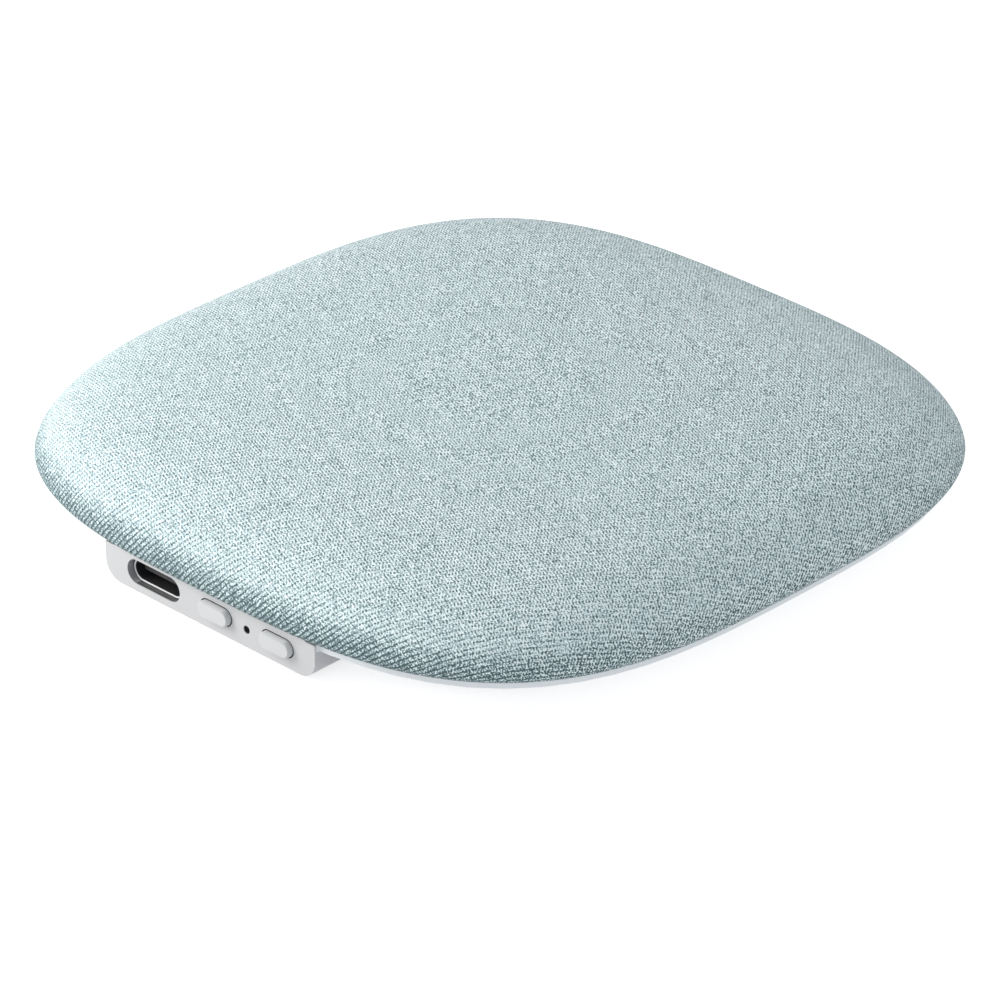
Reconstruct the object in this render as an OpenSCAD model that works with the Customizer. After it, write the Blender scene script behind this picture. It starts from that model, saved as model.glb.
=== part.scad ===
// Fabric-covered pillow speaker: a crowned squircle with a stretched knit cover, a white base
// and a port block under its front edge. Front is -Y, up is +Z, and the feet stand on Z = 0.

/* [Body] */
// Width of the cover at its widest, the same in X and Y
body_w = 104; // [96:0.5:116]
// Squareness of the plan outline: 2 is a circle, higher is squarer
squareness = 3.17; // [2.8:0.01:3.6]
// Height of the cover's shoulder above its widest line
shoulder_h = 7.24; // [6.6:0.1:9]
// How far the crown rises inside the shoulder
crown_h = 2; // [1.2:0.1:3]
// How sharply the shoulder turns down at its outer side
shoulder_turn = 10.3; // [8:0.1:12]
// Height of the widest line above the rim's top face
bulge_h = 1.3; // [1.1:0.05:1.8]
// How far the cover tucks in below its widest line
tuck_in = 1.4; // [1:0.1:1.8]

/* [Layers] */
// Thickness of the knit cover
fabric_t = 0.8; // [0.5:0.05:1]
// Width of the hem folded in under the frame
hem_w = 3; // [2.4:0.1:3.4]
// Thickness of the hem
hem_t = 0.5; // [0.3:0.05:0.6]
// Thickness of the foam under the cover
foam_t = 1.1; // [0.8:0.05:1.3]
// Wall of the moulded top frame
frame_wall = 1.6; // [1.2:0.1:2]
// Gap left between neighbouring layers
layer_gap = 0.1; // [0.05:0.01:0.2]

/* [Base] */
// How far the rim stands in from the cover's widest line
rim_inset = 1.2; // [0.8:0.05:1.6]
// Thickness of the visible rim
rim_t = 0.9; // [0.7:0.05:1.4]
// How far the tub's wall stands in from the rim's edge
tub_inset = 6; // [5.4:0.1:6.6]
// Depth of the tub below the rim
tub_h = 4.05; // [3.9:0.05:5]
// Wall of the tub
tub_wall = 1.5; // [1.2:0.1:1.8]
// Thickness of the tub's floor
floor_t = 1; // [0.8:0.05:1.05]
// Radius of the tub's lower edge
tub_edge_r = 1.5; // [0.5:0.1:1.8]
// Height of the locating lip above the rim's top face
lip_h = 1.8; // [1:0.1:2.4]
// Thickness of the locating lip
lip_t = 1.2; // [0.8:0.1:1.4]
// Clearance of the locating lip inside the hem
lip_gap = 0.3; // [0.2:0.05:0.5]

/* [Port block] */
// Width of the port block
block_w = 37.2; // [35.5:0.1:40]
// Wall of the block's front
block_wall = 1.6; // [1.4:0.05:1.8]
// Wall of the block's two ends
block_end_wall = 1.4; // [1:0.1:1.8]
// Radius of the block's two lower corners
block_corner_r = 2.6; // [1.2:0.1:3]
// Height of the port axis below the rim's underside
port_drop = 1.35; // [1.3:0.01:1.4]
// Share of the block's spare width left of the charging port
port_share = 0.39; // [0.2:0.01:0.5]
// Share of the block's spare width right of the buttons
button_share = 0.19; // [0.1:0.01:0.4]
// Width of the port's pocket
pocket_w = 9.5; // [9.3:0.05:9.8]
// Height of the port's pocket
pocket_h = 3.4; // [3.35:0.01:3.5]
// Diameter of the microphone hole
hole_d = 1.1; // [0.8:0.05:1.4]
// How far the microphone hole lies below the port axis
hole_drop = 0.25; // [0:0.05:0.3]

/* [Buttons] */
// Length of a button
button_w = 5.4; // [4.8:0.1:5.9]
// Height of a button
button_h = 2.3; // [2:0.05:2.7]
// How far a button stands proud of the block
button_proud = 0.8; // [0.4:0.05:0.9]
// Rounding of a button's front edge
button_edge = 0.3; // [0.1:0.05:0.35]
// Clearance round a button in its hole
button_gap = 0.16; // [0.08:0.01:0.18]
// Travel of a button
button_travel = 0.3; // [0.2:0.05:0.3]
// How far the flange behind the wall reaches past the button's ends
flange_lip = 1; // [0.6:0.05:1.1]
// Space between a flange and the microphone's nozzle
flange_space = 0.6; // [0.3:0.05:0.9]
// Height of the flange behind the wall
flange_h = 3; // [2.8:0.05:3.1]
// Thickness of the flange behind the wall
flange_t = 0.6; // [0.4:0.05:0.7]

/* [Charging port] */
// Width of the metal shell
usb_w = 8.94; // [8.9:0.01:9]
// Height of the metal shell
usb_h = 3.16; // [3.1:0.01:3.2]
// Length of the metal shell
usb_l = 7.3; // [6.9:0.1:7.6]
// Wall of the metal shell
usb_wall = 0.2; // [0.18:0.01:0.32]
// How far the shell's mouth stands back from the block's face
usb_recess = 0.9; // [0.7:0.05:1.2]
// Width of the tongue
tongue_w = 6.7; // [6.5:0.05:6.8]
// Thickness of the tongue
tongue_t = 0.7; // [0.6:0.02:0.74]
// How far the tongue stands back from the shell's mouth
tongue_recess = 0.8; // [0.6:0.05:1]
// Free length of the tongue
tongue_l = 4.6; // [4.2:0.1:4.8]

/* [Board] */
// Thickness of the circuit board
board_t = 1; // [0.8:0.1:1.2]
// Space between the board's sides and the screw bosses in the corners
board_side_gap = 3.3; // [2:0.1:5]
// Front edge of the board, measured back from the block's face
board_front = 3.6; // [3.5:0.1:3.9]
// Space between the board's back edge and the battery
board_back_gap = 2.5; // [2.2:0.1:4]
// Radius of a board screw's shank
board_screw_r = 0.8; // [0.7:0.05:0.9]
// Distance of the board's screws in from its edges
board_screw_inset = 3; // [2.6:0.1:3.6]

/* [Battery] */
// Thickness of the cell
cell_t = 5; // [4:0.1:5.5]
// Width of the cell
cell_w = 20; // [16:0.5:20]
// Clearance between the cell's long side and the tub wall
cell_gap = 1.6; // [1.5:0.1:3]
// Clearance between the cell's corners and the tub wall, along the cell
cell_end_gap = 1.7; // [1.6:0.1:4]
// Thickness of the adhesive tape under the cell
tape_t = 0.3; // [0.2:0.05:0.5]
// Height of the low fence round the cell
fence_h = 3; // [1.5:0.1:3.2]

/* [Driver] */
// Radius of the driver's flange
driver_r = 20; // [19:0.1:20.5]
// How far the grille disc reaches past the driver's flange
grille_margin = 4; // [3:0.1:5]
// Radius of a grille hole
grille_hole_r = 1.1; // [0.8:0.05:1.3]
// Distance between neighbouring grille holes
grille_pitch = 3.4; // [3:0.1:3.5]
// Travel of the cone each way
cone_travel = 0.4; // [0.2:0.05:0.4]
// Radius of the magnet cup
yoke_r = 9; // [8.6:0.1:10]
// Wall of the magnet cup
yoke_wall = 1.2; // [0.8:0.1:1.3]
// Height of the magnet cup
yoke_h = 4.6; // [4.2:0.1:4.9]
// Base of the magnet cup
yoke_base = 1.4; // [1:0.1:1.6]
// Radius of the top plate
plate_r = 6.6; // [6:0.1:6.6]
// Thickness of the top plate
plate_t = 1.2; // [0.8:0.1:1.2]
// Width of the surround between the cone and the basket
surround_w = 3; // [2.6:0.1:4]

/* [Feet and screws] */
// Clearance between a corner's screw boss and the tub wall
boss_wall_gap = 1.46; // [1.2:0.1:3]
// Radius of a foot
foot_r = 4; // [3.4:0.1:4.5]
// How far a foot stands out of the floor
foot_proud = 0.5; // [0.4:0.05:0.8]
// Depth of the recess that holds a foot
foot_recess = 0.3; // [0.2:0.05:0.4]
// Radius of a housing screw's shank
screw_r = 1; // [0.8:0.05:1.1]
// Height of the screw head's seat above the floor's underside
screw_seat_h = 2.1; // [1.8:0.1:2.6]

/* [Hidden] */
$fn = 64;

// Points round a plan outline; every layer shares the count, so that they nest
segments = 80;
// Rings on the faces where two layers nest, shared so that they run parallel
nest_steps = 8;
// Softness of the shoulder's turn
shoulder_q = 1.4;
half_w = body_w / 2;
// How far a cutting body reaches past the faces that it cuts
past = 1;
// How far a boss, lip or fence reaches into what it stands on
sunk = 0.2;

// Heights, from the feet up
floor_z = foot_proud;
floor_top = floor_z + floor_t;
rim_z = floor_z + tub_h;
rim_top = rim_z + rim_t;
port_z = rim_z - port_drop;
bulge_z = rim_top + bulge_h;
seat_gap = 0.05;
hem_z = rim_top + seat_gap;
hem_top = hem_z + hem_t;
frame_foot_z = hem_top + layer_gap;
lip_top = rim_top + lip_h;

// Layers, as insets from the cover's outer face
foam_in = fabric_t + layer_gap;
frame_in = foam_in + foam_t + layer_gap;
cavity_in = frame_in + frame_wall;

// Half widths of the base's outlines
rim_half = half_w - rim_inset;
tub_half = rim_half - tub_inset;
tub_inner = tub_half - tub_wall;
hem_inner = half_w - tuck_in - hem_w;
lip_outer = hem_inner - lip_gap;
lip_cut_d = 6;

// Corner bosses, and the feet and screws on them
boss_r = 3.2;
foot_pos = (tub_inner * reach(45) - boss_wall_gap - boss_r) * cos(45);

// Port block: the port, the buttons and the hole between them share out its inner width
face_y = -rim_half;
wall_back_y = face_y + block_wall;
block_inner = block_w / 2 - block_end_wall;
block_lead_in = 3;
usb_mouth_y = face_y + usb_recess;
boot_nozzle_r = 1.1;
flange_w = button_w + 2 * flange_lip;
button_pitch = flange_w + 2 * (boot_nozzle_r + flange_space);
block_spare = 2 * block_inner - usb_w - button_pitch - flange_w;
port_x = -block_inner + port_share * block_spare + usb_w / 2;
button_xs = [for (k = [1, 0]) block_inner - button_share * block_spare - flange_w / 2 - k * button_pitch];
hole_x = (button_xs[0] + button_xs[1]) / 2;
hole_z = port_z - hole_drop;

// Battery, right of the driver
cell_x = tub_inner - cell_gap - cell_w;
cell_z = floor_top + tape_t;
cell_l = 2 * (chord(tub_inner, cell_x + cell_w) - cell_end_gap);
cell_edge = 1.2;
fence_t = 1;
fence_gap = 0.4;
fence_share = 0.7;

// Board, hung above the port with its parts facing down
board_z = port_z + usb_h / 2;
board_top = board_z + board_t;
board_front_y = face_y + board_front;
board_back_y = -cell_l / 2 - board_back_gap;
board_gap = 0.7;
board_half = tub_inner - board_gap;
board_w = 2 * (foot_pos - boss_r - board_side_gap);
board_screw_x = board_w / 2 - board_screw_inset;
board_screw_y = board_screw_inset - chord(board_half, board_screw_x);
board_screws_at = [[-board_screw_x, board_screw_y], [board_screw_x, board_screw_y],
                   [0, board_back_y - board_screw_inset]];
board_hole_gap = 0.2;
board_boss_r = 2;
board_head_r = 1.5;
board_head_h = 1;
thread_gap = 0.02;

// Switches behind the buttons
flange_gap = 0.1;
flange_y = wall_back_y + flange_gap;
stem_w = 2;
stem_h = 1.2;
stem_l = 0.5;
plunger_y = flange_y + flange_t + stem_l;
plunger_w = 2.2;
plunger_h = 1.3;
plunger_out = 0.6;
plunger_in = 0.8;
switch_y = plunger_y + plunger_out;
switch_w = 4.6;
switch_d = 2.4;
switch_h = 2.7;
plunger_gap = 0.08;

// Microphone
mic_r = 1.2;
mic_l = 1.5;
boot_w = 3.8;
boot_nozzle_l = 1.3;
boot_y = wall_back_y + seat_gap + boot_nozzle_l;
boot_d = 2.4;

// Driver, hung under the grille disc
grille_r = driver_r + grille_margin;
disc_top = cover_z(grille_r / (half_w - frame_in), frame_in);
disc_z = disc_top - frame_wall;
disc_lap = 0.6;
gasket_t = 0.8;
gasket_w = 2.2;
rim_sheet_t = 0.3;
gasket_z = disc_z - gasket_t;
surround_z = gasket_z - rim_sheet_t;
basket_flange_t = 0.8;
basket_z = surround_z - basket_flange_t;
basket_r = driver_r - gasket_w;
basket_wall = 0.7;
basket_depth = 2.6;
basket_floor_z = basket_z - basket_depth;
tab_z = basket_floor_z + 1;
tab_y = -basket_r - 3;
seat_ring_t = 1;
seat_ring_gap = 0.15;
seat_ring_h = 2.2;
cone_r = basket_r - surround_w;
coil_gap = 0.3;
coil_r = plate_r + coil_gap;
coil_t = 0.45;
coil_top = surround_z - 0.5;
coil_spare = 0.6;
coil_h = plate_t + 2 * cone_travel + coil_spare;
yoke_top = basket_floor_z + basket_wall + 0.6;
yoke_z = yoke_top - yoke_h;
magnet_z = yoke_z + yoke_base;
plate_z = yoke_top - plate_t;
cone_t = 0.3;
cone_drop = 0.5;
cap_rise = 0.4;
cap_t = 0.2;
glue_gap = 0.1;
vent_count = 6;
vent_r = 1.8;

// Feet, and the screws under them
foot_t = foot_proud + foot_recess;
foot_gap = 0.15;
boss_top = rim_top - seat_gap;
seat_z = floor_z + screw_seat_h;
head_r = 1.9;
head_h = 1.2;
head_gap = 0.25;
post_r = 2.6;
post_z = boss_top + layer_gap;
post_bore_h = 4.6;
post_cap = 0.9;
screw_end_gap = 0.4;
drive_r = 0.75;
drive_depth = 0.6;
corners = [[-1, -1], [1, -1], [-1, 1], [1, 1]];

// Leads: route points were chosen by hand
lead_r = 0.45;
lead_sides = 8;
lead_gap = 0.05;
lead_spread = 0.7;
plug_size = [4.4, 4, 2.4];
plug_mid_z = 1.2;
battery_lead_from = [cell_x + 4, -cell_l / 2 - lead_gap, cell_z + cell_t - cell_edge];
battery_plug_at = on_board(0.68, 0.25);
lead_run = 6;
speaker_plug_at = [on_board(-0.25, 0).x, tab_y - lead_run - plug_size.y / 2, board_top];
tab_size = [4, 3.4, 0.6];

// Parts on the board's top: sizes, and places as shares of the board
bluetooth_size = [6, 6, 0.9];
amplifier_size = [4, 4, 0.9];
inductor_size = [4, 4, 2];
crystal_size = [3.2, 2.5, 0.8];
capacitor_size = [1.6, 0.8, 0.8];
capacitor_rows = [[-0.3, 0.86, 5], [0.3, 0.86, 3], [-0.86, 0.6, 1], [0.3, 0.5, 2]];

white = [0.90, 0.90, 0.92];
knit = [0.72, 0.81, 0.82];
steel = [0.74, 0.75, 0.77];

// Radius of the squircle outline of half width 1 at an angle
function reach(angle) =
    pow(pow(abs(cos(angle)), squareness) + pow(abs(sin(angle)), squareness), -1 / squareness);

// Plan outline of a given half width
function squircle(half) =
    [for (i = [0 : segments - 1])
        let (angle = 360 * i / segments)
        half * reach(angle) * [cos(angle), sin(angle)]];

// Half length of the chord across a squircle at a distance from its middle
function chord(half, x) = half * pow(1 - pow(x / half, squareness), 1 / squareness);

// Place on the board's top, as shares of its half width and of its depth behind the tub's wall
function on_board(u, v) =
    [u * board_w / 2, board_back_y + v * (-tub_inner - board_back_y), board_top];

// Height of a layer at a share of its half width, for a layer a given inset below the cover's face
function cover_z(share, inset) =
    bulge_z + (shoulder_h - inset) * pow(1 - pow(share, shoulder_turn), 1 / shoulder_q)
    + crown_h * (1 - share * share);

// One level ring of a layer
function ring(half, z) = [for (p = squircle(half)) [p.x, p.y, z]];

// Rings from the crown out to the widest line
function crown_rings(inset, steps) =
    [for (i = [0 : steps])
        let (k = 0.96 * (1 - i / steps), share = 1 - k * k)
        ring((half_w - inset) * share, cover_z(share, inset))];

// Half width of a layer below the widest line, where the cover tucks in
function tucked_half(inset, z) =
    let (fall = (bulge_z - z) / (bulge_z - hem_z))
    half_w - inset - tuck_in * (1 - sqrt(max(0, 1 - fall * fall)));

// Rings from below the widest line down to a height
function tuck_rings(inset, z, steps) =
    [for (i = [1 : steps])
        let (level = bulge_z - (bulge_z - z) * sin(90 * i / steps))
        ring(tucked_half(inset, level), level)];

function reversed(list) = [for (i = [len(list) - 1 : -1 : 0]) list[i]];

// Closed skin through rings of equal count, with a flat cap on the first and on the last
module skin(rings) {
    n = len(rings[0]);
    last = len(rings) - 1;
    points = [for (r = rings) each r];
    walls = [for (j = [0 : last - 1], i = [0 : n - 1])
        let (k = (i + 1) % n)
        [j * n + i, j * n + k, (j + 1) * n + k, (j + 1) * n + i]];
    first_cap = [for (i = [n - 1 : -1 : 0]) i];
    last_cap = [for (i = [0 : n - 1]) last * n + i];
    polyhedron(points, concat([first_cap], walls, [last_cap]), convexity = 6);
}

// Level plate with the squircle outline
module plate(half, z, height) {
    translate([0, 0, z]) linear_extrude(height) polygon(squircle(half));
}

// Upright cylinder from one height to another
module post(at, r, z0, z1) {
    translate([at.x, at.y, z0]) cylinder(r = r, h = z1 - z0);
}

// Ring between two radii, from one height to another
module tube(outer, inner, z0, z1) {
    translate([0, 0, z0]) linear_extrude(z1 - z0) difference() {
        circle(r = outer);
        circle(r = inner);
    }
}

// Long round of a given width and height, lying in the XZ plane, from y0 back to y1
module bar(w, h, y0, y1) {
    translate([0, y1, 0]) rotate([90, 0, 0]) linear_extrude(y1 - y0) union() {
        square([w - h, h], center = true);
        for (side = [-1, 1]) translate([side * (w - h) / 2, 0]) circle(d = h);
    }
}

// Cylinder along Y, from y0 back to y1
module rod(r, y0, y1) {
    translate([0, y1, 0]) rotate([90, 0, 0]) cylinder(r = r, h = y1 - y0);
}

// Block centred in X and on the port axis, from y0 back to y1
module port_box(x, w, h, y0, y1) {
    translate([x - w / 2, y0, port_z - h / 2]) cube([w, y1 - y0, h]);
}

// Knit cover, with its hem folded in between the frame and the rim
module fabric_cover() {
    outer = concat(crown_rings(0, 14), tuck_rings(0, hem_z, 4));
    hem = [ring(hem_inner, hem_z), ring(hem_inner, hem_top), ring(tucked_half(fabric_t, hem_top), hem_top)];
    inner = concat(
        reversed(tuck_rings(fabric_t, frame_foot_z, 1)), reversed(crown_rings(fabric_t, nest_steps)));
    color(knit) skin(concat(outer, hem, inner));
}

// Foam sheet between the cover and the frame
module foam_pad() {
    color("dimgray") skin(concat(
        crown_rings(foam_in, nest_steps), tuck_rings(foam_in, frame_foot_z, 1),
        reversed(tuck_rings(foam_in + foam_t, frame_foot_z, 1)),
        reversed(crown_rings(foam_in + foam_t, nest_steps))));
}

// Crowned shell of the top frame
module frame_dome() {
    skin(concat(
        crown_rings(frame_in, nest_steps), tuck_rings(frame_in, frame_foot_z, 1),
        reversed(tuck_rings(cavity_in, frame_foot_z, 1)), reversed(crown_rings(cavity_in, 6))));
}

// Hexagonal field of grille holes
module grille_holes() {
    rows = floor((driver_r - gasket_w) / grille_pitch);
    for (i = [-rows : rows], j = [-rows : rows])
        if (abs(i + j) <= rows)
            translate([(i + j / 2) * grille_pitch, j * grille_pitch * sin(60)]) circle(r = grille_hole_r);
}

module top_frame() {
    disc_r = grille_r + disc_lap;
    color("gainsboro") difference() {
        union() {
            difference() {
                frame_dome();
                post([0, 0], grille_r, floor_z, bulge_z + shoulder_h + crown_h);
            }
            translate([0, 0, disc_z]) linear_extrude(frame_wall) difference() {
                circle(r = disc_r);
                grille_holes();
            }
            tube(driver_r + seat_ring_gap + seat_ring_t, driver_r + seat_ring_gap,
                 disc_z - seat_ring_h, disc_z + frame_wall / 2);
            for (c = corners) post(c * foot_pos, post_r, post_z, post_z + post_bore_h + post_cap);
        }
        for (c = corners) post(c * foot_pos, screw_r + thread_gap, post_z - past, post_z + post_bore_h);
    }
}

// Block under the front edge, with rounded lower corners
module port_block() {
    translate([0, -tub_inner, 0]) rotate([90, 0, 0]) linear_extrude(-tub_inner - face_y) {
        translate([-block_w / 2, floor_z + block_corner_r])
            square([block_w, rim_top - floor_z - block_corner_r]);
        translate([-block_w / 2 + block_corner_r, floor_z])
            square([block_w - 2 * block_corner_r, block_corner_r]);
        for (side = [-1, 1])
            translate([side * (block_w / 2 - block_corner_r), floor_z + block_corner_r])
                circle(r = block_corner_r);
    }
}

// Tub's outer form, with a rounded lower edge
module tub_body() {
    edge = [for (i = [0 : 5])
        let (angle = 18 * i)
        ring(tub_half - tub_edge_r * (1 - cos(angle)), floor_z + tub_edge_r * (1 - sin(angle)))];
    skin(concat([ring(tub_half, rim_z + rim_t / 2)], edge));
}

// Low fence that keeps the battery in place
module battery_fence() {
    inner_x = cell_x - fence_gap;
    end_y = cell_l / 2 + fence_gap;
    translate([inner_x - fence_t, -end_y, floor_top - sunk]) cube([fence_t, 2 * end_y, fence_h]);
    for (side = [-1, 1])
        translate([inner_x - fence_t, side > 0 ? end_y : -end_y - fence_t, floor_top - sunk])
            cube([fence_share * cell_w, fence_t, fence_h]);
}

module shell_walls() {
    lip_cut = block_inner + lip_gap;
    difference() {
        union() {
            plate(rim_half, rim_z, rim_t);
            tub_body();
            port_block();
            difference() {
                plate(lip_outer, rim_top - sunk, lip_h + sunk);
                translate([-lip_cut, face_y, rim_top - past])
                    cube([2 * lip_cut, -face_y - tub_inner + lip_cut_d, lip_h + 2 * past]);
            }
        }
        plate(tub_inner, floor_top, rim_top - floor_top + sunk);
        plate(lip_outer - lip_t, rim_top, lip_h + past);
        translate([-block_inner, wall_back_y, floor_top])
            cube([2 * block_inner, -wall_back_y - tub_inner + block_lead_in, rim_top]);
    }
}

module bottom_shell() {
    color(white) difference() {
        union() {
            shell_walls();
            battery_fence();
            for (c = corners) post(c * foot_pos, boss_r, floor_z + foot_recess + sunk, boss_top);
            for (at = board_screws_at) post(at, board_boss_r, floor_top - sunk, board_z);
        }
        translate([port_x, 0, port_z]) bar(pocket_w, pocket_h, face_y - past, wall_back_y + past);
        for (x = button_xs)
            translate([x, 0, port_z])
                bar(button_w + 2 * button_gap, button_h + 2 * button_gap, face_y - past, wall_back_y + past);
        translate([hole_x, 0, hole_z]) rod(hole_d / 2, face_y - past, wall_back_y + past);
        for (c = corners) {
            at = c * foot_pos;
            post(at, foot_r + foot_gap, floor_z - past, floor_z + foot_recess);
            post(at, head_r + head_gap, floor_z - past, seat_z);
            post(at, screw_r + board_hole_gap, floor_z - past, boss_top + past);
        }
        for (at = board_screws_at)
            post(at, board_screw_r + thread_gap, floor_top, board_z + past);
    }
}

module foot(corner) {
    color("silver") post(corner * foot_pos, foot_r, 0, foot_t);
}

// Pan-head screw that points up, with a hexagonal drive recess under its head
module housing_screw(at) {
    difference() {
        union() {
            post(at, head_r, seat_z - head_h, seat_z);
            post(at, screw_r, seat_z, post_z + post_bore_h - screw_end_gap);
        }
        translate([at.x, at.y, seat_z - head_h - past])
            cylinder(r = drive_r, h = drive_depth + past, $fn = 6);
    }
}

module housing_screws() {
    color(steel) for (c = corners) housing_screw(c * foot_pos);
}

// Board screw that points down
module board_screw(at) {
    difference() {
        union() {
            post(at, board_head_r, board_top, board_top + board_head_h);
            post(at, board_screw_r, floor_top + screw_end_gap, board_top);
        }
        translate([at.x, at.y, board_top + board_head_h - drive_depth])
            cylinder(r = drive_r, h = drive_depth + past, $fn = 6);
    }
}

module board_screws() {
    color(steel) for (at = board_screws_at) board_screw(at);
}

// Circuit board: a full-width back and a narrower tongue over the port block
module main_board() {
    tongue_half = block_inner - 0.5;
    color("darkgreen") translate([0, 0, board_z]) linear_extrude(board_t) difference() {
        union() {
            intersection() {
                translate([-board_w / 2, -tub_inner]) square([board_w, tub_inner + board_back_y]);
                polygon(squircle(board_half));
            }
            translate([-tongue_half, board_front_y]) square([2 * tongue_half, board_screw_y - board_front_y]);
        }
        for (at = board_screws_at) translate([at.x, at.y]) circle(r = board_screw_r + board_hole_gap);
    }
}

// Metal shell of the charging port
module usb_shell() {
    color(steel) translate([port_x, 0, port_z]) difference() {
        bar(usb_w, usb_h, usb_mouth_y, usb_mouth_y + usb_l);
        bar(usb_w - 2 * usb_wall, usb_h - 2 * usb_wall, usb_mouth_y - past, usb_mouth_y + usb_l + past);
    }
}

// Insulator: a thin tongue on a plug that fills the back of the shell
module usb_tongue() {
    root_y = usb_mouth_y + tongue_recess + tongue_l;
    fit = 0.04;
    color([0.1, 0.1, 0.11]) {
        port_box(port_x, tongue_w, tongue_t, usb_mouth_y + tongue_recess, root_y + sunk);
        translate([port_x, 0, port_z])
            bar(usb_w - 2 * usb_wall - fit, usb_h - 2 * usb_wall - fit, root_y, usb_mouth_y + usb_l - 0.1);
    }
}

// Two rows of contacts on the tongue
module usb_contacts() {
    count = 12;
    pitch = 0.5;
    contact_w = 0.25;
    contact_t = 0.06;
    contact_l = tongue_l - 0.8;
    color("gold") for (i = [0 : count - 1], side = [-1, 1])
        translate([port_x + (i - (count - 1) / 2) * pitch - contact_w / 2,
                   usb_mouth_y + tongue_recess + 0.4,
                   port_z + (side > 0 ? tongue_t / 2 : -tongue_t / 2 - contact_t)])
            cube([contact_w, contact_l, contact_t]);
}

// Pill-shaped button: stepped front edge, shank through the wall, flange and stem behind it
module button_cap(x) {
    front_y = face_y - button_proud;
    shank_y = front_y + button_edge;
    steps = 3;
    color([0.93, 0.93, 0.94]) translate([x, 0, port_z]) {
        for (i = [1 : steps]) {
            angle = 90 * i / (steps + 1);
            trim = 2 * button_edge * (1 - sin(angle));
            bar(button_w - trim, button_h - trim, shank_y - button_edge * cos(angle), shank_y + 0.01);
        }
        bar(button_w, button_h, shank_y, flange_y);
        translate([-flange_w / 2, flange_y, -flange_h / 2]) cube([flange_w, flange_t, flange_h]);
        translate([-stem_w / 2, flange_y, -stem_h / 2]) cube([stem_w, flange_t + stem_l, stem_h]);
    }
}

// Plunger that the button's stem pushes
module switch_plunger(x) {
    color("ivory") port_box(x, plunger_w, plunger_h, plunger_y, switch_y + plunger_in);
}

// Side-push switch under the board, with a pocket for its plunger
module switch_body(x) {
    pocket_d = plunger_in + button_travel + 0.15;
    color([0.15, 0.15, 0.16]) difference() {
        translate([x - switch_w / 2, switch_y, board_z - switch_h]) cube([switch_w, switch_d, switch_h]);
        port_box(x, plunger_w + 2 * plunger_gap, plunger_h + 2 * plunger_gap,
                 switch_y - past, switch_y + pocket_d);
    }
}

// Microphone capsule facing the hole in the block
module microphone() {
    front_y = boot_y + boot_d - mic_l;
    color("silver") translate([hole_x, 0, hole_z]) rod(mic_r, front_y, front_y + mic_l);
}

// Rubber boot that seals the microphone to the hole
module microphone_boot() {
    color([0.2, 0.2, 0.2]) difference() {
        union() {
            port_box(hole_x, boot_w, usb_h, boot_y, boot_y + boot_d);
            translate([hole_x, 0, hole_z]) rod(boot_nozzle_r, boot_y - boot_nozzle_l, boot_y + sunk);
        }
        translate([hole_x, 0, hole_z]) {
            rod(hole_d / 2, face_y, boot_y + boot_d);
            rod(mic_r + thread_gap, boot_y + boot_d - mic_l, boot_y + boot_d + past);
        }
    }
}

// Pouch cell with rounded long edges
module battery_cell() {
    edge = cell_edge;
    color([0.78, 0.79, 0.8]) translate([cell_x, cell_l / 2, cell_z])
        rotate([90, 0, 0]) linear_extrude(cell_l) {
            translate([edge, 0]) square([cell_w - 2 * edge, cell_t]);
            translate([0, edge]) square([cell_w, cell_t - 2 * edge]);
            for (x = [edge, cell_w - edge], y = [edge, cell_t - edge]) translate([x, y]) circle(r = edge);
        }
}

module battery_tape() {
    margin = 3;
    color("khaki") translate([cell_x + margin, -cell_l / 2 + margin, floor_top])
        cube([cell_w - 2 * margin, cell_l - 2 * margin, tape_t]);
}

// Small board plug with a slot along its top, its leads leaving from +Y before it is turned
module board_plug(at, turn) {
    slot = 0.8;
    color("ivory") translate(at) rotate(turn) difference() {
        translate([-plug_size.x / 2, -plug_size.y / 2, 0]) cube(plug_size);
        translate([0, 0, plug_size.z]) cube([plug_size.x - 2 * slot, slot, 1], center = true);
    }
}

// Lead swept along points chosen by hand, smoothed through their midpoints
function smoothed(p) =
    [for (i = [0 : len(p) - 2]) each (i == 0 ? [p[0], (p[0] + p[1]) / 2]
        : [0.5 * p[i] + 0.25 * (p[i - 1] + p[i + 1]), (p[i] + p[i + 1]) / 2]),
     p[len(p) - 1]];
function unit(v) = v / norm(v);
function heading(p, i) = unit(p[min(i + 1, len(p) - 1)] - p[max(i - 1, 0)]);
function lead_ring(p, i) =
    let (along = heading(p, i), side = unit(cross(along, [0, 0, 1])), up = cross(side, along))
    [for (k = [0 : lead_sides - 1])
        let (angle = -360 * k / lead_sides)
        p[i] + lead_r * (cos(angle) * side + sin(angle) * up)];

module lead(route) {
    path = smoothed(route);
    skin([for (i = [0 : len(path) - 1]) lead_ring(path, i)]);
}

// Leads from the cell's end to the plug at the board's right
module battery_lead(offset) {
    mouth = battery_plug_at + [plug_size.y / 2, -offset, plug_mid_z];
    start = battery_lead_from + [offset, 0, 0];
    lead([start, start + [0, -1.5, 0.3], [(start.x + mouth.x) / 2 + 1, mouth.y + 2.5, mouth.z + 0.4],
          mouth + [2, 0, 0], mouth + [lead_gap, 0, 0]]);
}

// Leads from the basket's tab to the plug at the board's left
module speaker_lead(offset) {
    mouth = speaker_plug_at + [offset, plug_size.y / 2, plug_mid_z];
    start = [mouth.x, tab_y - lead_gap, tab_z];
    lead([start, start + [0, -1.2, 0], mouth + [0, 1.6, 0.2], mouth + [0, lead_gap, 0]]);
}

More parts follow.
